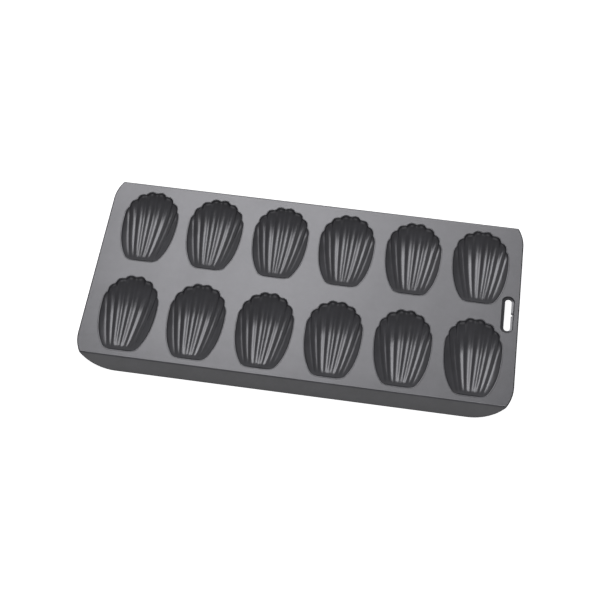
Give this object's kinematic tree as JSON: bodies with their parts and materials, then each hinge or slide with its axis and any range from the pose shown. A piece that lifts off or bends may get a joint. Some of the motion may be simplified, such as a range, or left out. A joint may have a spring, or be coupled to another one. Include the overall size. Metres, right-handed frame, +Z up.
{
  "type": "madeleine pan",
  "caption": "Shallow sheet-metal baking pan with two rows of fluted shell-shaped cups, turned-down long edges to stand on and a hanging slot at one end.",
  "frame": {"origin": "on the table, midway under the pan", "axes": "+X along the pan towards the hanging slot, -Y towards the front, +Z up"},
  "size_m": [0.4, 0.2026, 0.018],
  "materials": {
    "nonstick_sheet": "satin dark grey non-stick coating on thin steel sheet"
  },
  "bodies": {
    "root": {"deck": "nonstick_sheet", "front_skirt": "nonstick_sheet", "rear_skirt": "nonstick_sheet", "slot_rim": "nonstick_sheet", "shell_cup_front_1": "nonstick_sheet", "shell_cup_front_2": "nonstick_sheet", "shell_cup_front_3": "nonstick_sheet", "shell_cup_front_4": "nonstick_sheet", "shell_cup_front_5": "nonstick_sheet", "shell_cup_front_6": "nonstick_sheet", "shell_cup_rear_1": "nonstick_sheet", "shell_cup_rear_2": "nonstick_sheet", "shell_cup_rear_3": "nonstick_sheet", "shell_cup_rear_4": "nonstick_sheet", "shell_cup_rear_5": "nonstick_sheet", "shell_cup_rear_6": "nonstick_sheet"}
  },
  "joints": []
}
